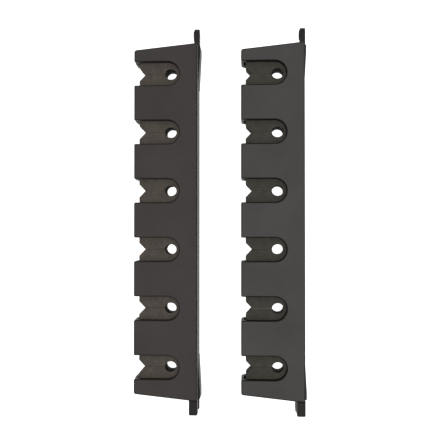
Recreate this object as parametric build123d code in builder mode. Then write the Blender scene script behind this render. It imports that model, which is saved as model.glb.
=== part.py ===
"""A pair of identical six-slot wall racks for cues: clam-shell housings with foam grip pads.

Frame: +Z is the way the cues stand, +Y points at the wall, X runs along the racks.
The ears are at the -X ends and the forked tongues are at the +X ends.
"""

import os

from build123d import *

os.makedirs("parts", exist_ok=True)

# ---------------------------------------------------------------- driving dimensions, millimetres
slot_count = 6
slot_pitch = 58.65
slot_width = 23.4
slot_reach = 45.2           # from the front edge to the round end of a slot
slot_shift = -1.5           # the row of slots sits a little nearer the ear

front_length = 343.6        # the housing is a trapezoid, longer at the wall
back_length = 357.2
body_width = 63.3
height = 32.0
parting_height = 23.0       # where the cover meets the base

wall = 2.5
plate = 3.0                 # thickness of the cover's plate and of the base's floor
lip_wall = 2.0
lip_height = 6.2            # the lips round the slots that clamp the foam, from the outside faces

ear_reach = 18.3            # how far the ear and the tongue stand out past the back corners
tongue_reach = 14.0
ear_height = 14.0
ear_thickness = 5.3
ear_middle = 13.3           # height of the ear's middle
ear_out = 1.3               # how far the ear's back face stands out from the housing's back
ear_hole_radius = 2.5
boss_ring_radius = 5.0      # raised rings round the wall screw holes
boss_ring_height = 0.8

tongue_thickness = 8.4
tongue_out = 0.2
tongue_top = 31.2
tongue_bottom = 1.5
tongue_hole_reach = 8.0     # from the housing's back corner to the tongue's hole
pocket_clearance = 0.3

wall_pad_length = 42.0
wall_pad_level = 7.0        # the stretch at each end that bears on the wall
wall_pad_rise = 2.2         # how far the pads stand out from the housing's back
wall_pad_flat = 20.8        # height of the pad's upright face, below its slope
wall_pad_toe = 0.3          # what is left of the rise where a pad ends
wall_pad_inset = 0.5        # from the housing's end

foam_front = 4.5
foam_back = 52.0
foam_width = 32.0
foam_gap = 0.2
notch_width = 13.0
notch_depth = 6.3
grip_hole_radius = 5.4
grip_hole_y = 36.4
slit_width = 0.5

rib_wall = 1.6              # the frames that locate the pads
rib_height = 14.0
rib_start = 6.0             # from the front edge
boss_radius = 3.5           # of the cover's screw bosses
base_boss_radius = 3.9
end_boss_y = 48.0
boss_meeting = 14.0         # height where the cover's bosses meet the base's
screw_radius = 1.45
screw_length = 13.0
screw_hole_gap = 0.05       # all round a shank in the cover's bosses
screw_way_gap = 0.3         # all round a shank and a head in the base
head_radius = 2.8
head_height = 2.2
head_edge = 0.5
head_seat = 8.0             # height of the faces that the screw heads bear on
drive_length = 3.2          # cross recess
drive_width = 0.7
drive_depth = 1.2

front_corner = 2.5          # corner radii in plan
back_corner = 1.5
mouth_corner = 1.5
edge_radius = 1.4
inner_corner = 0.6          # least corner radius of the outlines inside the walls
front_bevel = 5.0           # along the lower front edge
edge_break = 0.4
seam = 0.4                  # small chamfers that make the parting line
root = 1.5                  # how far the ear and the tongue run into the housing
rabbet_height = 2.0         # the cover's edge drops over the base's inner edge
rabbet_wall = 1.1
fit = 0.15                  # gap between pieces that meet
bite = 1.0                  # how far an added shape runs into what carries it
over = 10.0                 # how far a cutting shape runs past what it cuts

strip_spacing = 107.0       # between the two racks as they lie side by side

# ---------------------------------------------------------------- derived sizes
slot_radius = slot_width / 2
slot_centre_y = slot_reach - slot_radius
housing_middle = (ear_reach - tongue_reach) / 2
slot_middle = housing_middle + slot_shift
slot_xs = [slot_middle + (i - (slot_count - 1) / 2) * slot_pitch for i in range(slot_count)]
land_xs = [x + slot_pitch / 2 for x in slot_xs[:-1]]
ear_back_y = body_width + ear_out
ear_front_y = ear_back_y - ear_thickness
ear_corner_x = housing_middle - back_length / 2
ear_hole_x = ear_corner_x - ear_reach + ear_height / 2    # also the centre of the ear's round end
tongue_back_y = body_width + tongue_out
tongue_front_y = tongue_back_y - tongue_thickness
tongue_corner_x = housing_middle + back_length / 2
tongue_hole_x = tongue_corner_x + tongue_hole_reach
pocket_front_y = ear_front_y - pocket_clearance
frame_half = foam_width / 2 + 2 * fit
end_boss_offset = frame_half + rib_wall + boss_radius
screw_points = [(x, body_width / 2) for x in land_xs]
screw_points += [(slot_xs[0] - end_boss_offset, end_boss_y), (slot_xs[-1] + end_boss_offset, end_boss_y)]
total_width = strip_spacing + body_width + wall_pad_rise
front_edges = {"left": -total_width / 2, "right": -total_width / 2 + strip_spacing}
foam_bottom = lip_height + foam_gap
foam_thickness = height - 2 * foam_bottom


def level(z):
    """The horizontal plane at height z."""
    return Plane.XY.offset(z)


def upright(y):
    """The plane across the racks at y, facing the front."""
    return Plane.XZ.offset(-y)


def housing_outline(inset):
    """The trapezoid seen from above, moved inwards by inset, with rounded corners."""
    taper = (back_length - front_length) / 2 / body_width
    near = front_length / 2 - inset * (1 + taper**2) ** 0.5 + inset * taper
    far = near + (body_width - 2 * inset) * taper
    corners = [(-near, inset), (near, inset), (far, body_width - inset), (-far, body_width - inset)]
    with BuildSketch() as outline:
        with BuildLine():
            Polyline(*[(housing_middle + x, y) for x, y in corners], close=True)
        make_face()
        fillet(outline.vertices().group_by(Axis.Y)[0], max(front_corner - inset, inner_corner))
        fillet(outline.vertices().group_by(Axis.Y)[-1], max(back_corner - inset, inner_corner))
    return outline.sketch


def slot_shapes(grow):
    """All the U-shaped slots, wider all round by grow, running out past the front."""
    with BuildSketch() as slots:
        for x in slot_xs:
            with Locations((x, slot_centre_y)):
                Circle(slot_radius + grow)
            with Locations((x, (slot_centre_y - over) / 2)):
                Rectangle(2 * (slot_radius + grow), slot_centre_y + over)
    return slots.sketch


def slotted_outline():
    """The housing's outline with its slots cut out and their mouths eased."""
    with BuildSketch() as plan:
        add(outer_plan)
        add(slot_cut, mode=Mode.SUBTRACT)
        reach = slot_xs[-1] - slot_middle + slot_width
        mouths = [v for v in plan.vertices().group_by(Axis.Y)[0] if abs(v.X - slot_middle) < reach]
        fillet(mouths, mouth_corner)
    return plan.sketch


outer_plan = housing_outline(0)
rabbet_plan = housing_outline(wall - rabbet_wall)
inner_plan = housing_outline(wall)
slot_cut = slot_shapes(0)
lip_plan = slot_shapes(lip_wall)
slotted_plan = slotted_outline()
clearance_plan = housing_outline(-2 * fit)
with BuildSketch() as inner_edge:
    add(housing_outline(wall - rabbet_wall + fit))
    add(inner_plan, mode=Mode.SUBTRACT)
inner_edge_plan = inner_edge.sketch

# ---------------------------------------------------------------- cover: the upper shell
with BuildPart() as cover:
    with BuildSketch(level(parting_height)):
        add(slotted_plan)
    extrude(amount=height - parting_height)
    fillet(cover.faces().sort_by(Axis.Z)[-1].edges(), edge_radius)
    chamfer(cover.faces().sort_by(Axis.Z)[0].edges(), seam)
    # hollow below the plate, with the lips left standing round the slots
    with BuildSketch(level(height - lip_height)):
        add(inner_plan)
        add(lip_plan, mode=Mode.SUBTRACT)
    extrude(amount=lip_height - plate, mode=Mode.SUBTRACT)
    with BuildSketch(level(parting_height)):
        add(inner_plan)
    extrude(amount=height - lip_height - parting_height, mode=Mode.SUBTRACT)
    # rebate that drops over the base's inner edge
    with BuildSketch(level(parting_height)):
        add(rabbet_plan)
    extrude(amount=rabbet_height + fit, mode=Mode.SUBTRACT)
    # screw bosses
    with BuildSketch(level(boss_meeting + fit)):
        with Locations(*screw_points):
            Circle(boss_radius)
    extrude(amount=height - plate - boss_meeting - fit)
    with BuildSketch(level(boss_meeting + fit)):
        with Locations(*screw_points):
            Circle(screw_radius + screw_hole_gap)
    extrude(amount=screw_length - boss_meeting + head_seat, mode=Mode.SUBTRACT)

# ---------------------------------------------------------------- base: the lower shell
with BuildPart() as base:
    with BuildSketch():
        add(outer_plan)
    extrude(amount=parting_height)
    chamfer(base.faces().sort_by(Axis.Z)[-1].edges(), seam)
    with BuildSketch(Plane.YZ.offset(housing_middle - back_length)):
        with BuildLine():
            Polyline((-over, -over), (front_bevel + over, -over), (-over, front_bevel + over), close=True)
        make_face()
    extrude(amount=2 * back_length, mode=Mode.SUBTRACT)
    with BuildSketch(level(plate)):
        add(inner_plan)
    extrude(amount=parting_height - plate, mode=Mode.SUBTRACT)
    # inner edge that the cover drops over
    with BuildSketch(level(parting_height - bite)):
        add(inner_edge_plan)
    extrude(amount=rabbet_height + bite)
    # gusset that backs the bevel along the front
    gusset = [(wall - bite, plate - bite), (wall + front_bevel, plate - bite), (wall + front_bevel, plate),
              (wall, plate + front_bevel), (wall - bite, plate + front_bevel)]
    with BuildSketch(Plane.YZ.offset(housing_middle - front_length / 2 + bite)):
        with BuildLine():
            Polyline(*gusset, close=True)
        make_face()
    extrude(amount=front_length - 2 * bite)
    # lips that carry the foam
    with BuildSketch():
        add(lip_plan)
        with Locations((slot_middle, wall - back_length / 2)):
            Rectangle(2 * back_length, back_length, mode=Mode.SUBTRACT)
    extrude(amount=lip_height)
    # frames that locate the foam pads
    frame_back = foam_back + fit
    with BuildSketch(level(plate - bite)):
        for x in slot_xs:
            with Locations((x, (rib_start + frame_back + rib_wall) / 2)):
                Rectangle(2 * (frame_half + rib_wall), frame_back + rib_wall - rib_start)
            with Locations((x, frame_back / 2)):
                Rectangle(2 * frame_half, frame_back, mode=Mode.SUBTRACT)
    extrude(amount=rib_height - plate + bite)
    # screw bosses
    with BuildSketch(level(plate - bite)):
        with Locations(*screw_points):
            Circle(base_boss_radius)
    extrude(amount=boss_meeting - plate + bite)
    # slots
    with BuildSketch(level(-bite)):
        add(slot_cut)
    extrude(amount=height, mode=Mode.SUBTRACT)
    # ways for the cover screws' heads and shanks
    with BuildSketch(level(-bite)):
        with Locations(*screw_points):
            Circle(head_radius + screw_way_gap)
    extrude(amount=head_seat + bite, mode=Mode.SUBTRACT)
    with BuildSketch():
        with Locations(*screw_points):
            Circle(screw_radius + screw_way_gap)
    extrude(amount=boss_meeting, mode=Mode.SUBTRACT)
    # wall pads: each slopes out from the back's top edge, then stands upright
    pad_sections = [(0, wall_pad_rise), (wall_pad_level, wall_pad_rise), (wall_pad_length, wall_pad_toe)]
    pad_root_y = body_width - bite
    pad_top = parting_height - seam
    for end in (-1, 1):
        for distance, rise in pad_sections:
            section_x = housing_middle + end * (back_length / 2 - wall_pad_inset - distance)
            with BuildSketch(Plane.YZ.offset(section_x)):
                with BuildLine():
                    Polyline((pad_root_y, 0), (body_width + rise, 0), (body_width + rise, wall_pad_flat),
                             (body_width, pad_top), (pad_root_y, pad_top), close=True)
                make_face()
        loft(ruled=True)
    # ear: a round-ended tab, with a boss round its screw hole
    with BuildSketch(upright(ear_back_y)):
        with Locations((ear_hole_x, ear_middle)):
            Circle(ear_height / 2)
        with Locations(((ear_hole_x + ear_corner_x + root) / 2, ear_middle)):
            Rectangle(ear_corner_x + root - ear_hole_x, ear_height)
    extrude(amount=ear_thickness)
    chamfer(base.edges().filter_by_position(Axis.X, ear_hole_x - ear_height, ear_corner_x - 2 * root), edge_break)
    with BuildSketch(upright(ear_front_y)):
        with Locations((ear_hole_x, ear_middle)):
            Circle(boss_ring_radius)
    extrude(amount=boss_ring_height)
    # tongue: a block whose pocket takes the ear of the next rack, between two flanges
    with BuildSketch(upright(tongue_back_y)):
        with Locations((tongue_corner_x + (tongue_reach - root) / 2, (tongue_top + tongue_bottom) / 2)):
            Rectangle(tongue_reach + root, tongue_top - tongue_bottom)
    extrude(amount=tongue_thickness)
    with BuildSketch(level(parting_height)):
        add(clearance_plan)
        add(inner_edge_plan, mode=Mode.SUBTRACT)
    extrude(amount=height - parting_height, mode=Mode.SUBTRACT)
    chamfer(base.faces().sort_by(Axis.X)[-1].edges(), 2 * edge_break)
    with BuildSketch(upright(tongue_front_y)):
        with Locations((tongue_hole_x, ear_middle)):
            Circle(boss_ring_radius)
    extrude(amount=boss_ring_height)
    with BuildSketch(upright(tongue_back_y)):
        with Locations((tongue_corner_x + tongue_reach, ear_middle)):
            Rectangle(2 * tongue_reach, ear_height + 2 * pocket_clearance)
    extrude(amount=tongue_back_y - pocket_front_y, mode=Mode.SUBTRACT)
    with BuildSketch(upright(tongue_back_y)):
        with Locations((tongue_hole_x, ear_middle)):
            Circle(boss_ring_radius + pocket_clearance)
    extrude(amount=tongue_back_y - pocket_front_y + boss_ring_height, mode=Mode.SUBTRACT)
    # wall screw holes
    with BuildSketch(upright(ear_back_y)):
        with Locations((ear_hole_x, ear_middle), (tongue_hole_x, ear_middle)):
            Circle(ear_hole_radius)
    extrude(amount=2 * over, mode=Mode.SUBTRACT)

# ---------------------------------------------------------------- foam grip pads
pads = []
for x in slot_xs:
    with BuildPart() as pad:
        with BuildSketch(level(foam_bottom)):
            with Locations((x, (foam_front + foam_back) / 2)):
                Rectangle(foam_width, foam_back - foam_front)
            with BuildLine():
                Polyline((x - notch_width / 2, foam_front), (x, foam_front + notch_depth),
                         (x + notch_width / 2, foam_front), close=True)
            make_face(mode=Mode.SUBTRACT)
            with Locations((x, grip_hole_y)):
                Circle(grip_hole_radius, mode=Mode.SUBTRACT)
            with Locations((x, (foam_front + grip_hole_y) / 2)):
                Rectangle(slit_width, grip_hole_y - foam_front, mode=Mode.SUBTRACT)
        extrude(amount=foam_thickness)
    pads.append(pad)

# ---------------------------------------------------------------- cover screws, head down
with BuildPart() as cover_screws:
    with BuildSketch(level(head_seat - head_height)):
        with Locations(*screw_points):
            Circle(head_radius)
    extrude(amount=head_height)
    chamfer(cover_screws.faces().group_by(Axis.Z)[0].edges(), head_edge)
    with BuildSketch(level(head_seat)):
        with Locations(*screw_points):
            Circle(screw_radius)
    extrude(amount=screw_length)
    with BuildSketch(level(head_seat - head_height)):
        with Locations(*screw_points):
            Rectangle(drive_length, drive_width)
            Rectangle(drive_width, drive_length)
    extrude(amount=drive_depth, mode=Mode.SUBTRACT)

# ---------------------------------------------------------------- two racks, side by side
pieces = {"cover": cover, "base": base, "cover_screws": cover_screws}
pieces.update({f"grip_pad_{number}": pad for number, pad in enumerate(pads, start=1)})
for side, front_edge in front_edges.items():
    for name, piece in pieces.items():
        with BuildPart() as placed:
            with Locations((0, front_edge, 0)):
                add(piece.part)
        placed.part.label = f"{side}_{name}"
        export_step(placed.part, f"parts/{placed.part.label}.step")
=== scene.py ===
# %% [markdown]
# # A pair of foam-grip wall racks for cues
#
# Each rack is a flat plastic clam shell: a cover above, a base below, and six blocks of foam
# clamped between them. A cue is pushed sideways through a slit into a round hole in the foam.
# The shells and the screws were designed as solids and arrive here finished. This lesson gives
# them their moulded plastic and zinc, and models the soft foam blocks, which a solid can't show.
#
# Sizes below are in millimetres and are turned to metres where Blender needs them.

# %% Load the frame
import math

import bpy
from mathutils import Matrix, Vector


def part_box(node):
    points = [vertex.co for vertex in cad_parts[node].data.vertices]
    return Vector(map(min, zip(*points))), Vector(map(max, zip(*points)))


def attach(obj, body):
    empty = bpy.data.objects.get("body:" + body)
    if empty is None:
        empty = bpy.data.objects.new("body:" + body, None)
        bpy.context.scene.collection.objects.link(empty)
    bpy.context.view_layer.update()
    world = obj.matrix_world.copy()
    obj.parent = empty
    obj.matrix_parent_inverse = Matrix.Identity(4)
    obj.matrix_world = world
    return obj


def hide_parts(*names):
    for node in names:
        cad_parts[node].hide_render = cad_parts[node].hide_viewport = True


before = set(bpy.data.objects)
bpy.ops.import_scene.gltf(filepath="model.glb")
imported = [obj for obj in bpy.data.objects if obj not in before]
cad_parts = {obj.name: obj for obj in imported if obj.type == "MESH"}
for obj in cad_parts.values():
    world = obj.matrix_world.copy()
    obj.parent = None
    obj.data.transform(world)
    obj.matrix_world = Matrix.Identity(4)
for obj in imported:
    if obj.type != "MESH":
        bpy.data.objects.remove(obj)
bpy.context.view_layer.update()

print("loaded", len(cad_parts), "solids")

# %% [markdown]
# ## Small helpers
#
# Three things are needed all the time: millimetres to metres, a colour that was picked from a
# screen turned into the linear light that a shader works with, and a clean selection. The nodes
# that were loaded are still selected, so every modelling step starts by selecting nothing.

# %% Units, colours and selection
MM = 0.001
SIDES = ("left", "right")
PAD_NUMBERS = range(1, 7)
BODY = "root"


def linear(hex_colour):
    """An sRGB colour such as '#4f4943' as linear RGBA."""
    channels = [int(hex_colour[i : i + 2], 16) / 255 for i in (1, 3, 5)]
    return [c / 12.92 if c <= 0.04045 else ((c + 0.055) / 1.055) ** 2.4 for c in channels] + [1.0]


def select_nothing():
    """Start from a clean selection."""
    bpy.ops.object.select_all(action="DESELECT")


def select_only(obj):
    """Leave one object selected and active."""
    select_nothing()
    obj.select_set(True)
    bpy.context.view_layer.objects.active = obj


def apply_place(obj):
    """Put the object's place, turn and size into its mesh."""
    select_only(obj)
    bpy.ops.object.transform_apply(location=True, rotation=True, scale=True)


def apply_modifier(obj, kind, **settings):
    """Add a modifier, set it and apply it at once."""
    modifier = obj.modifiers.new(kind.title(), kind)
    for name, value in settings.items():
        setattr(modifier, name, value)
    select_only(obj)
    bpy.ops.object.modifier_apply(modifier=modifier.name)


print("middle grey in linear light:", round(linear("#808080")[0], 3))

# %% [markdown]
# ## How a material is built here
#
# Each finish is a small tree of nodes round one Principled shader. A single function adds a
# node, sets it and links it, so a material reads as a list of what is done to the surface.
# Patterns are placed by Object coordinates. Every object sits at the origin at its real size,
# so a noise scale of 1 / (grain size in metres) gives grains of that size.

# %% Material helper
def new_material(name):
    """An empty node material. Returns it with its shader and its coordinates."""
    material = bpy.data.materials.new(name)
    material.use_nodes = True
    tree = material.node_tree
    shader = tree.nodes["Principled BSDF"]
    return material, shader, tree.nodes.new("ShaderNodeTexCoord").outputs


def node(material, kind, settings=(), **links):
    """Add one node. Settings are its own properties, links are values or outputs for its inputs."""
    added = material.node_tree.nodes.new("ShaderNode" + kind)
    for name, value in dict(settings).items():
        setattr(added, name, value)
    for name, value in links.items():
        socket = added.inputs[int(name[1:])] if name[0] == "n" and name[1:].isdigit() else added.inputs[name]
        if isinstance(value, bpy.types.NodeSocket):
            material.node_tree.links.new(value, socket)
        else:
            socket.default_value = value
    return added


def link(material, output, socket):
    """Join an output to a shader's socket."""
    material.node_tree.links.new(output, socket)


def set_ramp(ramp, *stops):
    """Give a colour ramp its two stops, each a place and a colour."""
    for element, (place, colour) in zip(ramp.color_ramp.elements, stops):
        element.position = place
        element.color = linear(colour)


print("material helpers:", new_material.__name__, node.__name__, link.__name__, set_ramp.__name__)

# %% [markdown]
# ## The shell: charcoal styrene with a spark-eroded grain
#
# Cheap wall racks are moulded in impact styrene or ABS that is coloured right through, so there
# is no paint that could chip. The mould's flat faces are spark-eroded, which gives the plates a
# fine, even pebble that scatters light: they look flat and matte. The mould's walls and rounded
# edges have a polish, so the part can slide out of it, and only a low grazing view brings a sheen
# there. Those walls and edges are also given a darker colour, which is painted shade. So the grain
# and the painted shade are blended by how far a surface leans away from the horizontal.
#
# Real grains are about 0.1 mm. They are drawn here at 0.6 mm, as fine as a view of the whole
# rack can hold. Under the grain there is a faint cloudiness from the way the melt flowed.

# %% Shell plastic
GRAIN_SIZE, FLOW_SIZE = 0.6 * MM, 38 * MM
# how far up a surface must face before the painted shade of the walls gives way to the plates' grain
LEAN_SIDE, LEAN_TOP = 0.92, 0.995
GRAIN_SHARE = 0.25
PLATE_ROUGHNESS = (0.55, 0.70)
WALL_ROUGHNESS = 0.55
STYRENE_IOR, STYRENE_SHINE = 1.55, 0.15


def shell_plastic(name, dark, light, painted_side_shade):
    """Moulded plastic with a pebble grain where it faces up, and a painted shade on its smoother edges and
    walls.
    """
    material, shader, place = new_material(name)
    cloudy = {"Scale": 1 / FLOW_SIZE, "Detail": 3.0, "Roughness": 0.55}
    flow = node(material, "TexNoise", Vector=place["Object"], **cloudy)
    pebbly = {"Scale": 1 / GRAIN_SIZE, "Detail": 2.0, "Roughness": 0.5}
    grain = node(material, "TexNoise", Vector=place["Object"], **pebbly)
    both = {"n0": GRAIN_SHARE, "n2": flow.outputs["Fac"], "n3": grain.outputs["Fac"]}
    blend = node(material, "Mix", {"data_type": "FLOAT"}, **both)
    shades = node(material, "ValToRGB", Fac=blend.outputs[0])
    set_ramp(shades, (0.36, dark), (0.64, light))
    lean = node(material, "SeparateXYZ", Vector=place["Normal"])
    limits = {"From Min": LEAN_SIDE, "From Max": LEAN_TOP}
    facing_up = node(material, "MapRange", Value=lean.outputs["Z"], **limits)
    # painted shade: surfaces that lean away from the top take the darker side colour
    colours = {"n0": facing_up.outputs[0], "n6": linear(painted_side_shade), "n7": shades.outputs["Color"]}
    colour = node(material, "Mix", {"data_type": "RGBA"}, **colours)
    link(material, colour.outputs[2], shader.inputs["Base Color"])
    spread = {"To Min": PLATE_ROUGHNESS[0], "To Max": PLATE_ROUGHNESS[1]}
    matte = node(material, "MapRange", Value=grain.outputs["Fac"], **spread)
    ends = {"n0": facing_up.outputs[0], "n2": WALL_ROUGHNESS, "n3": matte.outputs[0]}
    gloss = node(material, "Mix", {"data_type": "FLOAT"}, **ends)
    link(material, gloss.outputs[0], shader.inputs["Roughness"])
    pebble = node(material, "Bump", Strength=0.35, Distance=0.05 * MM, Height=grain.outputs["Fac"])
    link(material, pebble.outputs["Normal"], shader.inputs["Normal"])
    shader.inputs["IOR"].default_value = STYRENE_IOR
    shader.inputs["Specular IOR Level"].default_value = STYRENE_SHINE
    return material


# the third colour of each is the painted shade on the walls and rounded edges
SHELL = {
    "left_cover": shell_plastic("charcoal_styrene_cover_left", "#474342", "#4e4947", "#2a2827"),
    "left_base": shell_plastic("charcoal_styrene_base_left", "#2e2c2b", "#343231", "#2a2827"),
    "right_cover": shell_plastic("charcoal_styrene_cover_right", "#514e4c", "#585553", "#1f1d1d"),
    "right_base": shell_plastic("charcoal_styrene_base_right", "#302e2d", "#363433", "#242221"),
}
print("shell finishes:", sorted(material.name for material in SHELL.values()))

# %% [markdown]
# ## The screws: zinc-plated steel
#
# Small pan-head screws hold the base to the cover from below. Bright zinc plating is a metal with
# a slightly blue, slightly cloudy shine, and the rolled blank leaves it a little uneven.

# %% Zinc plate
def zinc_plate(name):
    """Bright, slightly cloudy plating."""
    cloud_size = 1.5 * MM
    material, shader, place = new_material(name)
    cloud = node(material, "TexNoise", Vector=place["Object"], Scale=1 / cloud_size, Detail=3.0)
    tint = node(material, "ValToRGB", Fac=cloud.outputs["Fac"])
    set_ramp(tint, (0.0, "#a9adb0"), (1.0, "#c6c9ca"))
    link(material, tint.outputs["Color"], shader.inputs["Base Color"])
    gloss = node(material, "MapRange", Value=cloud.outputs["Fac"], **{"To Min": 0.28, "To Max": 0.46})
    link(material, gloss.outputs["Result"], shader.inputs["Roughness"])
    shader.inputs["Metallic"].default_value = 1.0
    return material


ZINC = zinc_plate("zinc_plated_steel")
print("screw finish:", ZINC.name)

# %% [markdown]
# ## The grips: closed-cell foam
#
# The blocks are cut from a sheet of cross-linked polyethylene foam. Its faces are a skin of tiny
# closed bubbles, some of them opened by the knife, so it is completely matte, a little warm in
# colour, and speckled. Real cells are 0.3 to 0.5 mm. They are drawn at 0.9 mm so that they show,
# as round pits from a Voronoi pattern, over a broader mottling of the sheet. The walls of the hole,
# the notch and the slit are given a dark colour, a painted shade for the shade inside them, and a
# pale strip along one slit is a painted highlight, for light catching its edge.

# %% Cut foam
CELL_SIZE, MOTTLE_SIZE = 0.9 * MM, 6 * MM
CELL_SHARE = 0.35
FOAM_ROUGHNESS, FOAM_SHINE = 0.92, 0.2


def cut_foam(name, dark, light):
    """Matte closed-cell foam with pits of two sizes."""
    material, shader, place = new_material(name)
    spots = {"Scale": 1 / CELL_SIZE, "Smoothness": 0.4}
    cells = node(material, "TexVoronoi", {"feature": "SMOOTH_F1"}, Vector=place["Object"], **spots)
    uneven = {"Scale": 1 / MOTTLE_SIZE, "Detail": 4.0, "Roughness": 0.6}
    mottle = node(material, "TexNoise", Vector=place["Object"], **uneven)
    mixed = {"n0": CELL_SHARE, "n2": mottle.outputs["Fac"], "n3": cells.outputs["Distance"]}
    blend = node(material, "Mix", {"data_type": "FLOAT"}, **mixed)
    shades = node(material, "ValToRGB", Fac=blend.outputs[0])
    set_ramp(shades, (0.30, dark), (0.68, light))
    link(material, shades.outputs["Color"], shader.inputs["Base Color"])
    pits = node(material, "Bump", Strength=0.6, Distance=0.25 * MM, Height=cells.outputs["Distance"])
    hills = {"Height": mottle.outputs["Fac"], "Normal": pits.outputs["Normal"]}
    swells = node(material, "Bump", Strength=0.4, Distance=0.3 * MM, **hills)
    link(material, swells.outputs["Normal"], shader.inputs["Normal"])
    shader.inputs["Roughness"].default_value = FOAM_ROUGHNESS
    shader.inputs["Specular IOR Level"].default_value = FOAM_SHINE
    return material


# the sheet's skin, the painted shade of the walls, and the painted highlight along a slit
FOAM_FINISHES = ("skin", "painted_shade", "painted_highlight")
FOAM = {
    "left": [
        cut_foam("foam_warm", "#554d47", "#6a625b"),
        cut_foam("foam_warm_painted_shade_wall", "#1f1c1a", "#292522"),
        cut_foam("foam_warm_painted_highlight_line", "#5d5650", "#6e6761"),
    ],
    "right": [
        cut_foam("foam_cool", "#46443d", "#56544c"),
        cut_foam("foam_cool_painted_shade_wall", "#1b1a18", "#252421"),
        cut_foam("foam_cool_painted_highlight_line", "#67655f", "#7b7973"),
    ],
}

print("foam finishes:", [material.name for side in SIDES for material in FOAM[side]])

# %% [markdown]
# ## Finishing the solids that stay
#
# The shells and the screws already have their right shape, so they are kept as they are. Each one
# has a material slot waiting, and its finish is put there.

# %% Give the shells and the screws their finishes
for side in SIDES:
    for part_name in ("cover", "base", "cover_screws"):
        node_name = f"{side}_{part_name}"
        for material_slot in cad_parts[node_name].material_slots:
            material_slot.material = SHELL.get(node_name, ZINC)
        print(node_name, "is finished in", SHELL.get(node_name, ZINC).name)

# %% [markdown]
# ## Modelling a foam block
#
# On the bench a block starts as a rectangle. A punch makes the round hole, a knife the V in front
# and the slit between them. So the model starts as a cube at the block's own place, and three
# cutters do the same work with the Boolean modifier. A small bevel then takes the razor edge off,
# as foam never holds one.

# %% Cut one block
PUNCH_LONG, PUNCH_SHORT = 5.7 * MM, 5.1 * MM
PUNCH_FROM_FRONT = 31.9 * MM
NOTCH_DEPTH = 6.3 * MM
NOTCH_HALF = 6.5 * MM
SOFT_EDGE = 0.55 * MM
SHARP_CORNER = math.radians(35)
KNIFE_OVERLAP = 0.4 * MM


def cube(name, low, high):
    """A cube between two corners, as its own object."""
    select_nothing()
    bpy.ops.mesh.primitive_cube_add(size=1, location=(low + high) / 2, scale=high - low)
    made = bpy.context.object
    made.name = name
    apply_place(made)
    return made


def cut(block, cutter):
    """Take the cutter's shape out of the block and throw the cutter away."""
    apply_modifier(block, "BOOLEAN", operation="DIFFERENCE", solver="EXACT", object=cutter)
    bpy.data.objects.remove(cutter, do_unlink=True)


def cut_block(name, low, high, slit):
    """A foam block between two corners with its notch, slit and hole."""
    block = cube(name, low, high)
    middle = (low + high) / 2
    reach = high.z - low.z
    # the notch: a square bar stood on its corner, squashed to the notch's width and depth
    select_nothing()
    tip = (middle.x, low.y, middle.z)
    bpy.ops.mesh.primitive_cylinder_add(vertices=4, radius=1, depth=2 * reach, location=tip)
    notch = bpy.context.object
    notch.scale = (NOTCH_HALF, NOTCH_DEPTH, 1)
    apply_place(notch)
    cut(block, notch)
    # the punched hole
    select_nothing()
    hole_place = (middle.x, low.y + PUNCH_FROM_FRONT, middle.z)
    bpy.ops.mesh.primitive_cylinder_add(vertices=72, radius=1, depth=2 * reach, location=hole_place)
    punch = bpy.context.object
    punch.scale = (PUNCH_SHORT, PUNCH_LONG, 1)
    apply_place(punch)
    cut(block, punch)
    softened = {"width": SOFT_EDGE, "segments": 3, "limit_method": "ANGLE"}
    apply_modifier(block, "BEVEL", angle_limit=SHARP_CORNER, **softened)
    # the slit from the notch to the hole, left sharp
    knife_low = Vector((middle.x - slit / 2, low.y + NOTCH_DEPTH - KNIFE_OVERLAP, low.z - reach))
    knife_high = Vector((middle.x + slit / 2, low.y + PUNCH_FROM_FRONT - PUNCH_LONG / 2, high.z + reach))
    cut(block, cube("knife", knife_low, knife_high))
    return block


print("hole in the foam, mm:", round(2 * PUNCH_LONG / MM, 1), "by", round(2 * PUNCH_SHORT / MM, 1))

# %% [markdown]
# ## Letting the foam swell
#
# The shell's lips squeeze the block along the edge of the slot, so the free foam inside the slot
# bulges, above and below. To let a flat face bend, it first needs points: the edit-mode bisect
# tool cuts the block along evenly spaced planes, which leaves the hole and the notch untouched.
# Then each point is lifted by a smooth rule of its distance from the lip.

# %% Shape the free foam
SLOT_RADIUS = 11.7 * MM
SLOT_CENTRE_FROM_FRONT = 29.0 * MM
BULGE = 0.9 * MM
CUT_STEP = 1.6 * MM
SLIT_STRIP_HALF = 0.45 * MM
SAME_POINT = 0.01 * MM


def slice_block(block, low, high):
    """Cut the block into small cells with planes along X and along Y."""
    select_only(block)
    bpy.ops.object.mode_set(mode="EDIT")
    for axis, normal in ((0, (1, 0, 0)), (1, (0, 1, 0))):
        count = int((high[axis] - low[axis]) / CUT_STEP)
        for i in range(1, count):
            point = list((low + high) / 2)
            point[axis] = low[axis] + (high[axis] - low[axis]) * i / count
            bpy.ops.mesh.select_all(action="SELECT")
            bpy.ops.mesh.bisect(plane_co=point, plane_no=normal)
    for offset in (-SLIT_STRIP_HALF, SLIT_STRIP_HALF):
        bpy.ops.mesh.select_all(action="SELECT")
        bpy.ops.mesh.bisect(plane_co=(low.x / 2 + high.x / 2 + offset, 0, 0), plane_no=(1, 0, 0))
    bpy.ops.mesh.select_all(action="SELECT")
    bpy.ops.mesh.remove_doubles(threshold=SAME_POINT)
    bpy.ops.object.mode_set(mode="OBJECT")


def inside_slot(x, y, middle_x, front_y):
    """How far a point is inside the slot's lip, as a share of the slot's radius."""
    along = max(0.0, y - (front_y + SLOT_CENTRE_FROM_FRONT))
    from_middle = math.hypot(x - middle_x, along)
    return max(0.0, 1 - from_middle / SLOT_RADIUS)


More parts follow.
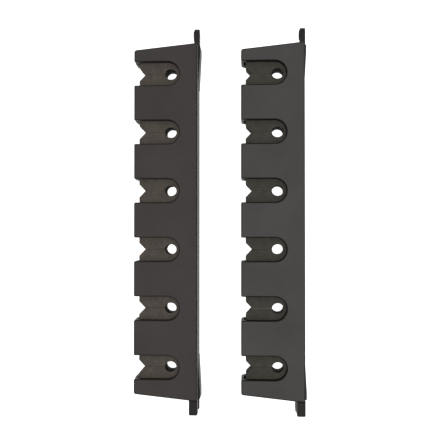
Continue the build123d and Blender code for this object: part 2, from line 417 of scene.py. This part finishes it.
def swell(block, low, high, step_up):
    """Bulge the free foam, and raise the half beyond the slit by step_up."""
    middle = (low + high) / 2
    half_height = (high.z - low.z) / 2
    for vertex in block.data.vertices:
        share = inside_slot(vertex.co.x, vertex.co.y, middle.x, low.y)
        rise = BULGE * (1 - (1 - share) ** 3)
        beyond = vertex.co.x > middle.x and vertex.co.y < low.y + PUNCH_FROM_FRONT
        rise += step_up * min(1.0, share * 3) if beyond else 0.0
        vertex.co.z += rise * (vertex.co.z - middle.z) / half_height


print("the foam rises at most, mm:", round(BULGE / MM, 2))

# %% [markdown]
# ## Where the foam is dark and where it is pale
#
# One block carries three finishes. Its faces are chosen by their place: the upright walls of the
# hole, the notch and the slit get a dark painted shade, for the shade inside them, and along a
# chosen slit the narrow strip on top gets a pale painted highlight, for light catching its edge.
# All other faces keep the sheet's own skin.

# %% Which face gets which foam finish
def finish_faces(block, low, high, side, painted_highlight):
    """Painted shade on the walls of the hole, the notch and the slit, and a painted highlight along a chosen
    slit.
    """
    for finish in FOAM[side]:
        block.data.materials.append(finish)
    middle_x = (low.x + high.x) / 2
    hole_y = low.y + PUNCH_FROM_FRONT
    for face in block.data.polygons:
        centre = face.center
        in_hole = math.hypot(centre.x - middle_x, centre.y - hole_y) < PUNCH_LONG + SOFT_EDGE / 2
        in_notch = centre.y < low.y + NOTCH_DEPTH and abs(centre.x - middle_x) < NOTCH_HALF
        by_slit = low.y + NOTCH_DEPTH < centre.y < hole_y and abs(centre.x - middle_x) < SLIT_STRIP_HALF
        # painted shade: a dark finish on the upright walls of the hole, the notch and the slit
        if abs(face.normal.z) < 0.5 and (in_hole or in_notch or by_slit):
            face.material_index = FOAM_FINISHES.index("painted_shade")
        # painted highlight: a pale strip on top along a chosen slit
        elif painted_highlight and by_slit:
            face.material_index = FOAM_FINISHES.index("painted_highlight")


print("foam finishes on a block:", FOAM_FINISHES)

# %% [markdown]
# ## Twelve blocks, each a little different
#
# Knife cuts never close in quite the same way. Each block gets its own width of slit and its own
# small step between the two halves. The widths and steps repeat in a short cycle, so the blocks
# differ and the result is the same every time.

# %% Make the blocks
SLIT_WIDTHS = (0.20 * MM, 0.14 * MM, 0.17 * MM, 0.16 * MM, 0.24 * MM)
STEPS_UP = (0.10 * MM, 0.0, 0.05 * MM, 0.0, 0.30 * MM, 0.08 * MM)
# the slits that get the painted highlight strip along them
HIGHLIGHTED_SLITS = {("right", 5)}
SMOOTH_UP_TO = math.radians(40)


def make_grip(side, number):
    """One finished foam block in place of its plain solid."""
    node_name = f"{side}_grip_pad_{number}"
    low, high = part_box(node_name)
    block = cut_block(f"{side}_foam_grip_{number}", low, high, SLIT_WIDTHS[number % len(SLIT_WIDTHS)])
    slice_block(block, low, high)
    swell(block, low, high, STEPS_UP[number - 1])
    select_only(block)
    bpy.ops.object.shade_smooth_by_angle(angle=SMOOTH_UP_TO)
    finish_faces(block, low, high, side, (side, number) in HIGHLIGHTED_SLITS)
    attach(block, BODY)
    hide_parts(node_name)
    return block


for side in SIDES:
    blocks = [make_grip(side, number) for number in PAD_NUMBERS]
    print(side, "foam faces:", [len(b.data.polygons) for b in blocks])

# %% [markdown]
# ## Floor
#
# The racks lie on a bright white table, as small goods do for a catalogue. The table glows a
# little itself, like a light box, so that it stays white right up to the plastic and through the
# holes.

# %% Floor
def white_table():
    """A wide white floor that is partly its own light."""
    glow, side_length = 1.0, 12
    material, shader, _ = new_material("light_table")
    shader.inputs["Base Color"].default_value = linear("#f2f2f2")
    shader.inputs["Roughness"].default_value = 0.9
    shader.inputs["Emission Color"].default_value = linear("#ffffff")
    shader.inputs["Emission Strength"].default_value = glow
    select_nothing()
    bpy.ops.mesh.primitive_plane_add(size=side_length, location=(0, 0, 0))
    table = bpy.context.object
    table.name = "table"
    table.data.materials.append(material)
    print("table:", tuple(round(v, 1) for v in table.dimensions), "m")


white_table()

# %% [markdown]
# ## Light
#
# One soft lamp straight above lights the plates evenly. A pale grey room fills in the walls from all
# round, so no side goes black; the rounded edges stay a shade darker than the plates, partly from
# this light and partly from the painted shade in the shell's colour. The colours are shown as they
# are, without a film look.

# %% Lamps and surroundings
def area_lamp(name, place, aim, size, power):
    """A square soft lamp at a place, turned to an aim point."""
    lamp = bpy.data.lights.new(name, "AREA")
    lamp.shape = "SQUARE"
    lamp.size = size
    lamp.energy = power
    holder = bpy.data.objects.new(name, lamp)
    holder.location = place
    holder.rotation_euler = (Vector(aim) - Vector(place)).to_track_quat("-Z", "Y").to_euler()
    bpy.context.collection.objects.link(holder)
    print(name, "lamp:", power, "W,", size, "m wide")


def surroundings():
    """A grey room all round."""
    world = bpy.data.worlds.new("studio")
    bpy.context.scene.world = world
    world.use_nodes = True
    room = world.node_tree.nodes["Background"]
    room.inputs["Color"].default_value = linear("#ffffff")
    room.inputs["Strength"].default_value = 0.35


area_lamp("overhead", (0.1, 0.1, 2.0), (0, 0, 0), 0.5, 12.3)
surroundings()
bpy.context.scene.view_settings.view_transform = "Standard"

# %% [markdown]
# ## Camera
#
# The view is from straight above, about 0.7 m up, a little past the middle towards the wall side,
# and tilted back to the middle. The end with the ears is at the top of the view.

# %% Place the camera
CAMERA_PLACE = Vector((12.9, 34.7, 725.7)) * MM
CAMERA_AIM = Vector((2.2, 1.4, 32.0)) * MM
VIEW_UP = Vector((-1, 0, 0))
LENS, SENSOR_WIDTH = 56.9, 36.0


def add_camera():
    """A camera that looks down with the ears' end up."""
    data = bpy.data.cameras.new("camera")
    data.sensor_width = SENSOR_WIDTH
    data.lens = LENS
    camera = bpy.data.objects.new("camera", data)
    bpy.context.collection.objects.link(camera)
    forward = (CAMERA_AIM - CAMERA_PLACE).normalized()
    right = forward.cross(VIEW_UP).normalized()
    up = right.cross(forward)
    turn = Matrix((right, up, -forward)).transposed()
    camera.matrix_world = Matrix.Translation(CAMERA_PLACE) @ turn.to_4x4()
    bpy.context.scene.camera = camera
    print("camera distance, mm:", round((CAMERA_AIM - CAMERA_PLACE).length / MM))


add_camera()
